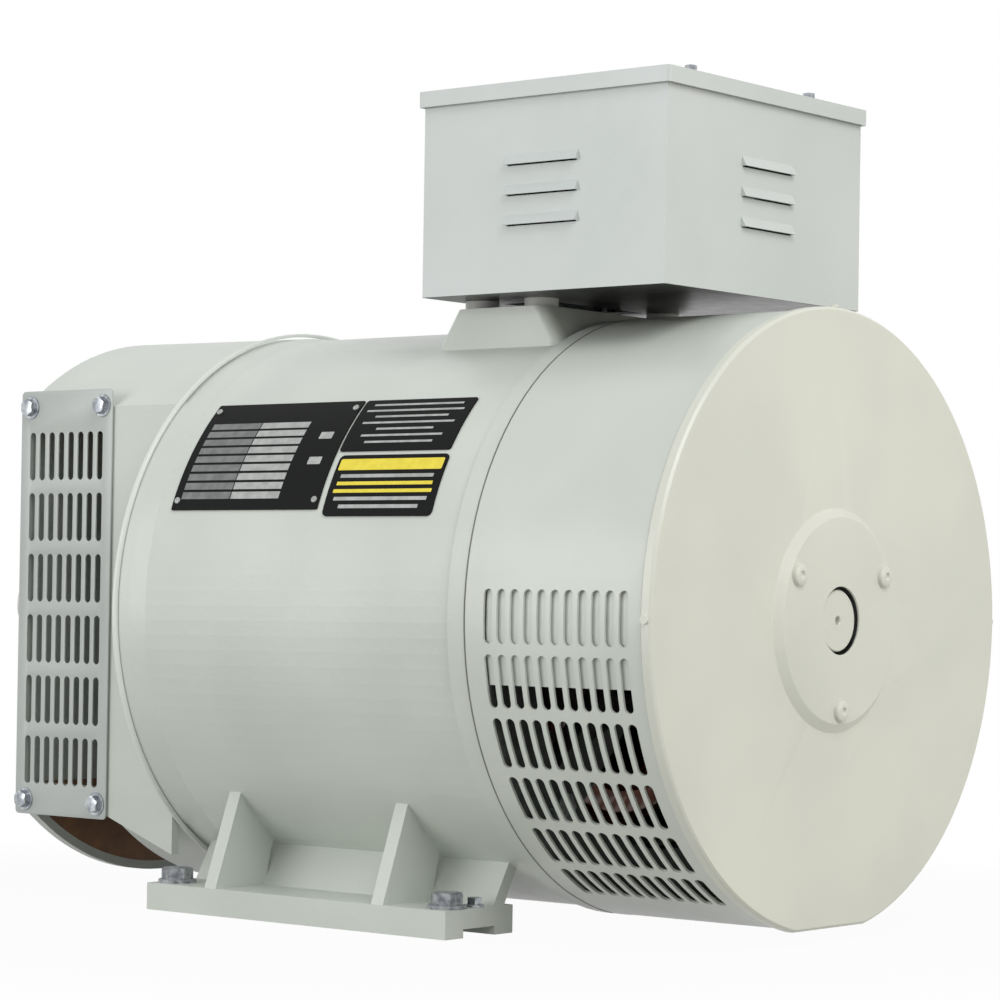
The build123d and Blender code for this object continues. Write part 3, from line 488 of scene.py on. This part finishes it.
def rounded_outline(x, y, width, height, corner, steps):
    """Points round a rectangle centred on (x, y) whose corners have that radius."""
    points = []
    for quarter, (side_x, side_y) in enumerate(((1, 1), (-1, 1), (-1, -1), (1, -1))):
        for step in range(steps + 1):
            turn = math.pi / 2 * (quarter + step / steps)
            points.append((x + side_x * (width / 2 - corner) + corner * math.cos(turn),
                           y + side_y * (height / 2 - corner) + corner * math.sin(turn)))
    return points


grille_enamel = enamel("grey_enamel_on_punched_sheet", "#BFC4C0", "#B4B9B6", 30.0, 0.05)
grille_sheet = 1.2
for node, facing in (("grille_near", -1), ("grille_far", 1)):
    low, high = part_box(node)
    size = (high - low) / MM
    outlines = [rounded_outline(0, 2, size.x, size.z + 6, 3.0, 4)]
    for column in range(8):
        for row in range(6):
            outlines.append(rounded_outline((column - 3.5) * 8.63, (row - 2.5) * 38.4 - 1.5, 5.0, 30.2, 2.49, 5))
    work = punched_sheet(outlines, grille_sheet, 0.3)
    outer_y = (high.y if facing > 0 else low.y) - facing * grille_sheet / 2 * MM
    centre = Vector(((low.x + high.x) / 2, outer_y, (low.z + high.z) / 2))
    stand = Matrix.Rotation(math.radians(90), 4, "X")
    bmesh.ops.transform(work, matrix=Matrix.Translation(centre) @ stand, verts=work.verts)
    piece(node + "_punched", work, grille_enamel, "stator", node)

work = bmesh.new()
low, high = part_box("grille_near")
middle = (low + high) / 2 / MM
for facing in (-1, 1):
    for side_x in (-32.2, 32.2):
        for rise in (-122.6, 125.6):
            centre = (middle.x + side_x, facing * abs(low.y) / MM, middle.z + rise)
            place = pointing(centre, (0, facing, 0), side_x / 80 + rise)
            turned(work, ((7.2, 0.0), (7.2, 0.8), (6.8, 1.1)), place, 32)
            hexagon(work, 9.5, 1.0, 4.6, place)
piece("grille_hexagon_screws", work, zinc_plate, "stator", "grille_screws")


# ---- bearing cap and bearings ----
# A turned iron cap with the frame's enamel closes the drive-end bearing. Both bearings are ground steel rings
# with black rubber seals.
dress("drive_end_bearing_cap", cast_enamel)
dress("bearing_cap_screws", zinc_plate)
dress("bell_bolts", zinc_plate)


def turned_steel(name, light, dark, pitch_mm, roughness):
    """Steel cut on a lathe: fine rings that spread the highlight round the axis."""
    material, tree, shader = start_material(name, light, roughness, 1.0)
    place = add(tree, "TexCoord")
    rings = add(tree, "TexWave", {"Vector": place.outputs["Object"], "Scale": 0.314 / (pitch_mm * MM),
                                  "Distortion": 0.6, "Detail": 2.0}, bands_direction="X")
    stain = blotches(tree, 70.0, 4.0)
    finish_surface(tree, shader, tone(tree, stain, dark, light), (stain, roughness - 0.05, roughness + 0.12),
                   [(rings.outputs[0], 0.012)])
    return material


def rubber(name, colour, roughness):
    """Moulded rubber: near black, matt, with a fine grain and a faint bloom."""
    material, tree, shader = start_material(name, colour, roughness)
    bloom = blotches(tree, 20.0, 4.0)
    finish_surface(tree, shader, tone(tree, bloom, "#17181A", "#2A2C2E"), (bloom, roughness - 0.08, roughness + 0.1),
                   [(blotches(tree, 1.1), 0.03)])
    return material


# Grinding lines are about 0.05 mm apart, and are drawn 0.8 mm apart so that they show.
ground_steel = turned_steel("ground_bearing_steel", "#C4C6C8", "#A9ACB0", 0.8, 0.22)
seal_rubber = rubber("moulded_nitrile_rubber", "#202224", 0.62)
for end in ("front", "rear"):
    dress(end + "_bearing_outer_ring", ground_steel)
    dress(end + "_bearing_inner_ring", ground_steel)
    dress(end + "_bearing_seals", seal_rubber)


# ---- shaft and rotor ----
# A turned steel shaft carries a stacked sheet core, coils of varnished wire, a cast aluminium fan, and copper
# rings on a moulded phenolic hub.
dress("shaft", turned_steel("turned_shaft_steel", "#B2B3B3", "#9C9D9C", 1.2, 0.34))
dress("rotor_core", banded("varnished_rotor_sheets", "#6B5A4C", "#3A302A", 2.0, "X", 0.38, 0.6, 0.10))
field_wire = banded("varnished_field_wire", "#9A4A26", "#54260F", 2.0, "Y", 0.28, 0.35, 0.25)
field_wire.node_tree.nodes["Principled BSDF"].inputs["Coat Weight"].default_value = 0.6
dress("field_windings", field_wire)


def cast_metal(name, light, dark, roughness, grain_mm, depth, metallic):
    """A raw casting: grainy, dull, lighter where it has rubbed."""
    material, tree, shader = start_material(name, light, roughness, metallic)
    skin = blotches(tree, grain_mm, 5.0)
    finish_surface(tree, shader, tone(tree, skin, dark, light), (skin, roughness - 0.1, roughness + 0.12),
                   [(skin, depth)])
    return material


dress("fan", cast_metal("oxidised_cast_aluminium", "#5E6163", "#434648", 0.56, 3.0, 0.06, 0.5))
phenolic = cast_metal("moulded_black_phenolic", "#2B2522", "#1B1715", 0.38, 5.0, 0.03, 0.0)
dress("slip_ring_hub", phenolic)
dress("slip_rings", turned_steel("turned_copper", "#C98255", "#A6603A", 1.0, 0.24))


# ---- rear bracket and brush gear ----
# A cast iron bracket in dark primer holds the rear bearing and a phenolic holder with two carbon brushes, each
# pressed on its ring by a wound steel spring.
# The bracket's primer tone is kept dark: painted shade for the inside of the cover, seen through the slots.
dress("rear_bracket", cast_metal("primed_cast_iron_darkened_as_shade", "#5B5E5C", "#414442", 0.55, 7.0, 0.2, 0.1))
dress("bracket_bolts", zinc_plate)
dress("brush_holder", phenolic)
brush_carbon = cast_metal("pressed_graphite", "#2E2E30", "#1C1C1E", 0.42, 1.5, 0.03, 0.3)
spring_wire = banded("wound_spring_wire", "#B8BBBE", "#4A4D50", 1.8, "Z", 0.30, 1.0, 0.35)
for end in ("front", "rear"):
    dress(end + "_brush", brush_carbon)
    dress(end + "_brush_spring", spring_wire)


# ---- rear cover band ----
# A steel sheet punched with round-ended slots on both sides, rolled round the bracket, and flattened underneath.
# It has the same enamel as the frame, a little smoother because the sheet below is smooth.
sheet_enamel = enamel("enamel_on_rolled_sheet", "#D2D7CF", "#CACFC7", 60.0, 0.10, 0.36)
low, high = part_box("rear_cover_band")
band_length = (high.x - low.x) / MM
band_radius = high.y / MM
axis_z = 180.0
band_flat = axis_z - low.z / MM
band_sheet = 1.5
flat_turn = math.acos(band_flat / band_radius)
row_turn = math.radians(11.7)
around = 2 * math.pi * band_radius
middle_x = (low.x + high.x) / 2 / MM
outlines = [rounded_outline(0, 0, around, band_length, 0.001, 1)]
for side in (-1, 1):
    for row in range(6):
        for column in range(11):
            along = side * (math.pi / 2 - row * row_turn) * band_radius
            across = 204.5 - middle_x + (column - 5) * 9.1
            outlines.append(rounded_outline(along, across, math.radians(9.8) * band_radius, 6.0, 2.99, 5))
work = punched_sheet(outlines, band_sheet, 0.0)
seam = [f for f in work.faces if all(abs(v.co.x) > (around / 2 - 0.01) * MM for v in f.verts)]
bmesh.ops.delete(work, geom=seam, context="FACES")
cuts = [math.radians(3 * k) for k in range(-59, 60)] + [-flat_turn, flat_turn]
for cut in cuts:
    bmesh.ops.bisect_plane(work, geom=work.verts[:] + work.edges[:] + work.faces[:],
                           plane_co=(cut * band_radius * MM, 0, 0), plane_no=(1, 0, 0))
for vert in work.verts:
    turn = vert.co.x / (band_radius * MM)
    depth = band_sheet / 2 * MM - vert.co.z
    reach = band_radius * MM - depth
    if abs(turn) < flat_turn:
        reach = (band_flat * MM - depth) / math.cos(turn)
    vert.co = (middle_x * MM + vert.co.y, reach * math.sin(turn), axis_z * MM - reach * math.cos(turn))
bmesh.ops.remove_doubles(work, verts=work.verts, dist=0.00002)
bmesh.ops.recalc_face_normals(work, faces=work.faces)
piece("rear_cover_band_punched", work, sheet_enamel, "stator", "rear_cover_band", limit=25.0)

# A thin grey ring is painted round each joint, where the sheet meets the frame and the cap: painted shade for the
# shadowed gap there.
joint_shade_paint = enamel("painted_shade_in_joint", "#7A7A74", "#63635D", 14.0, 0.05, 0.7)
line_width = 0.8
section = ((-1.0, 0.0), (0.2, 0.0), (0.2, line_width), (-1.0, line_width))
turns = sorted({math.radians(3 * k) for k in range(-60, 60)} | {-flat_turn, flat_turn})
work = bmesh.new()
cap_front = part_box("rear_cover_cap")[0].x / MM
for joint_x in (low.x / MM, cap_front - line_width - 0.1):
    rings = []
    for turn in turns:
        rings.append([])
        for rise, along in section:
            reach = band_radius + rise
            if abs(turn) < flat_turn:
                reach = (band_flat + rise) / math.cos(turn)
            point = Vector((joint_x + along, reach * math.sin(turn), axis_z - reach * math.cos(turn)))
            rings[-1].append(work.verts.new(point * MM))
    for ring, after in zip(rings, rings[1:] + rings[:1]):
        for k in range(4):
            work.faces.new((ring[k - 1], ring[k], after[k], after[k - 1]))
bmesh.ops.recalc_face_normals(work, faces=work.faces)
piece("rear_cover_joint_painted_shade", work, joint_shade_paint, "stator")

low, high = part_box("air_baffle")
work = bmesh.new()
layers = []
for step in range(42):
    turn = math.radians(-12.5 + step * 5.0)
    ring = []
    for x, reach in ((low.x - 3 * MM, 0.1722), (high.x, 0.1722), (high.x, 0.1710), (low.x - 3 * MM, 0.1710)):
        ring.append(work.verts.new((x, reach * math.cos(turn), axis_z * MM + reach * math.sin(turn))))
    layers.append(ring)
for below, above in zip(layers, layers[1:]):
    for k in range(4):
        work.faces.new((below[k], below[(k + 1) % 4], above[(k + 1) % 4], above[k]))
work.faces.new(layers[0][::-1])
work.faces.new(layers[-1])
bmesh.ops.recalc_face_normals(work, faces=work.faces)
piece("air_baffle_sheet", work, sheet_enamel, "stator", "air_baffle")
dress("cover_backing_ring", zinc_plate)


# ---- rear cover cap ----
# A pressed steel cap with a rolled lip closes the band; its raised boss has a hole that shows the shaft's end.
# The press leaves soft edges. The enamel on this flat face is a little warmer, and painted lighter than the frame's:
# painted light for the light this face catches.
cap_enamel_painted_lighter = enamel("enamel_on_pressed_cap_painted_lighter", "#DDDED2", "#D6D8CD", 60.0, 0.10, 0.36)
eased("rear_cover_cap", cap_enamel_painted_lighter, 0.8)


def pan_head(work, radius, height, place):
    """A domed screw head with a dimple for its recess, sizes in mm."""
    turned(work, ((radius, 0.0), (radius, height * 0.45), (radius * 0.93, height * 0.72),
                  (radius * 0.74, height * 0.92),
                  (radius * 0.45, height), (radius * 0.36, height * 0.98), (radius * 0.24, height * 0.6)), place, 32)


work = bmesh.new()
for angle in (30, 150, 270):
    y, z = 50.6 * math.cos(math.radians(angle)), axis_z + 50.6 * math.sin(math.radians(angle))
    pan_head(work, 6.2, 3.2, pointing((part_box("cover_screws")[1].x / MM - 3.2, y, z), (1, 0, 0), 0.5))
piece("cover_pan_screws", work, cap_enamel_painted_lighter, "stator", "cover_screws")
dress("lip_screws", cap_enamel_painted_lighter)

# The shaft's end stands just inside the hole, and caught the same enamel when the head was sprayed.
work = bmesh.new()
end_face = ((17.4, 258.0), (17.4, 270.2), (16.8, 270.8), (2.9, 270.8), (2.4, 270.2), (2.4, 266.0))
turned(work, end_face, Matrix.Translation((0, 0, 0.180)) @ Matrix.Rotation(math.radians(90), 4, "Y"), 64)
piece("sprayed_shaft_end", work, cap_enamel_painted_lighter, "rotor")


# ---- control box ----
# Folded and welded steel sheet with pressed louvres, smooth enamel, and a lid with a folded lip. Spacers hold it
# off the frame's neck, and a rubber grommet takes the cable.
def painted_shade_below(material, height_mm, dark):
    """Paint a dark tone onto a finish below a height: painted shade for the underside, where little light reaches.
    """
    tree = material.node_tree
    shader = tree.nodes["Principled BSDF"]
    film = shader.inputs["Base Color"].links[0].from_socket
    place = add(tree, "TexCoord")
    axes = add(tree, "SeparateXYZ", {0: place.outputs["Object"]})
    below = add(tree, "Math", {0: axes.outputs["Z"], 1: height_mm * MM}, operation="LESS_THAN")
    # primer here is the dark tone of the painted shade.
    primer = tone(tree, blotches(tree, 20.0, 4.0), dark, "#2A2C2A")
    colour = add(tree, "Mix", {0: below.outputs[0], 6: film, 7: primer}, data_type="RGBA")
    tree.links.new(colour.outputs[2], shader.inputs["Base Color"])


box_enamel = enamel("enamel_on_folded_sheet", "#CDD2D0", "#C6CCC9", 80.0, 0.08, 0.36)
# The box's underside is painted dark: painted shade under the box, in the gap above the barrel.
painted_shade_below(box_enamel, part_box("control_box")[0].z / MM + 0.2, "#1B1D1B")
eased("control_box", box_enamel, 0.5, crease=3.0, hood_edges=(436.4, 419.2, 402.0))
eased("box_lid", box_enamel, 0.6, crease=3.0)
dress("cable_grommet", rubber("moulded_grommet_rubber", "#1E2022", 0.58))
spacer_nylon = enamel("moulded_pale_nylon", "#D9DAD6", "#CFD1CD", 8.0, 0.03, 0.5)
dress("box_spacers", spacer_nylon)
dress("box_bolts", zinc_plate)

work = bmesh.new()
low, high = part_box("lid_screws")
middle = (low + high) / 2 / MM
lid_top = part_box("box_lid")[1].z / MM
for side_x in (-1, 1):
    for side_y in (-1, 1):
        place = pointing((middle.x + side_x * 74.8, side_y * 60.0, lid_top), (0, 0, 1), side_x * 0.5)
        turned(work, ((5.4, 0.0), (5.4, 0.6), (5.0, 0.9)), place, 32)
        hexagon(work, 6.0, 0.8, 6.2, place)
piece("lid_hexagon_screws", work, zinc_plate, "stator", "lid_screws")


# ---- terminals and regulator ----
# Brass studs on a phenolic board, and a voltage regulator potted in black resin with moulded ribs.
dress("terminal_board", cast_metal("phenolic_board", "#5A3B22", "#42290F", 0.36, 9.0, 0.02, 0.0))
dress("terminal_studs", turned_steel("turned_brass", "#C9A760", "#A58340", 0.8, 0.26))
dress("voltage_regulator", cast_metal("black_potting_resin", "#26282A", "#17181A", 0.32, 14.0, 0.03, 0.0))


# ---- plates on the barrel ----
# Thin aluminium plates, anodised black and bent to the barrel. Their frames, ruled fields and coloured panel are
# the bare pale or printed metal, with nothing written on them.
plate_black = cast_metal("black_anodised_aluminium", "#0B0C0D", "#060707", 0.52, 2.0, 0.006, 0.0)
plate_black.node_tree.nodes["Principled BSDF"].inputs["Specular IOR Level"].default_value = 0.12
plate_grey = cast_metal("etched_grey_aluminium", "#7E8080", "#6A6C6C", 0.46, 6.0, 0.004, 0.2)
plate_pale = cast_metal("etched_pale_aluminium", "#B6B8B6", "#A0A2A0", 0.46, 6.0, 0.004, 0.2)
plate_yellow = cast_metal("yellow_screen_ink", "#F2E04A", "#E8D43A", 0.46, 6.0, 0.003, 0.0)
barrel_radius = 171.0


def bent_panel(work, x_low, x_high, low, high, lift, thickness, corner=0.0):
    """A round-cornered panel bent to the barrel between two angles in degrees, sizes in mm."""
    inner = barrel_radius + lift
    outer = inner + thickness
    start, end = math.radians(low) * outer, math.radians(high) * outer
    steps = [corner * (1 - math.cos(math.radians(15 * k))) for k in range(7)] if corner else [0.0]
    rows = [start + s for s in steps] + [end - s for s in steps[::-1]]
    spans = max(1, int((end - start) / 5))
    rows += [start + (end - start) * k / spans for k in range(1, spans)]
    rows = sorted(set(round(r, 4) for r in rows))
    layers = []
    for row in rows:
        gap = max(0.0, corner - min(row - start, end - row))
        inset = corner - math.sqrt(max(0.0, corner ** 2 - gap ** 2)) if corner else 0.0
        turn = row / outer
        ring = []
        corners = ((x_low + inset, outer), (x_high - inset, outer), (x_high - inset, inner), (x_low + inset, inner))
        for x, radius in corners:
            ring.append(work.verts.new(Vector((x, -radius * math.cos(turn), axis_z + radius * math.sin(turn))) * MM))
        layers.append(ring)
    for below, above in zip(layers, layers[1:]):
        for k in range(4):
            work.faces.new((below[k], below[(k + 1) % 4], above[(k + 1) % 4], above[k]))
    work.faces.new(layers[0][::-1])
    work.faces.new(layers[-1])
    bmesh.ops.recalc_face_normals(work, faces=work.faces)


plate_spans = (("rating_plate", -94.0, 22.0, 20.0, 45.7, 1.0), ("instruction_plate", 24.0, 106.5, 32.6, 45.7, 1.6),
               ("caution_plate", 27.0, 108.0, 18.6, 31.6, 3.2))
for node, x_low, x_high, low_angle, high_angle, corner in plate_spans:
    work = bmesh.new()
    bent_panel(work, x_low, x_high, low_angle, high_angle, 0.1, 0.8, corner)
    piece(node + "_bent", work, plate_black, "stator", node, limit=20.0)

# The rating plate's fields: nine rows, each a wide and a narrow one, and two small blank boxes beside them.
ruled = 0.92
wide, narrow = bmesh.new(), bmesh.new()
for row in range(9):
    top = 40.2 - row * 2.05
    bent_panel(wide, -88.0, -49.0, top - 1.5, top, ruled, 0.05)
    bent_panel(narrow, -48.2, -10.0, top - 1.5, top, ruled, 0.05)
for top in (37.4, 31.4):
    bent_panel(narrow, 3.0, 13.0, top - 1.7, top, ruled, 0.05, 0.6)
piece("rating_plate_wide_fields", wide, plate_grey, "stator")
piece("rating_plate_narrow_fields", narrow, plate_pale, "stator")

# The instruction plate's ruled lines, and the caution plate's yellow panel and lines below it.
lines, yellow = bmesh.new(), bmesh.new()
for row, inset in enumerate((6.0, 3.0, 12.0, 5.0, 18.0, 9.0, 14.0)):
    top = 44.5 - row * 1.6
    bent_panel(lines, 26.0 + inset, 104.5 - inset, top - 0.5, top, ruled, 0.05)
bent_panel(yellow, 29.0, 106.0, 28.2, 30.7, ruled, 0.05, 1.0)
for row, (ink, inset) in enumerate(((lines, 4.0), (yellow, 3.0), (yellow, 2.0), (lines, 4.0), (lines, 9.0))):
    top = 27.3 - row * 1.6
    bent_panel(ink, 29.0 + inset, 106.0 - inset, top - 0.75, top, ruled, 0.05)
piece("plate_ruled_lines", lines, plate_pale, "stator")
piece("caution_plate_yellow", yellow, plate_yellow, "stator")

work = bmesh.new()
for x in (-90.5, 18.5):
    for angle in (22.0, 43.7):
        turn = math.radians(angle)
        outward = (0, -math.cos(turn), math.sin(turn))
        reach = barrel_radius + 0.9
        pan_head(work, 2.0, 1.1, pointing((x, reach * outward[1], axis_z + reach * outward[2]), outward))
piece("rating_plate_rivets", work, plate_pale, "stator")
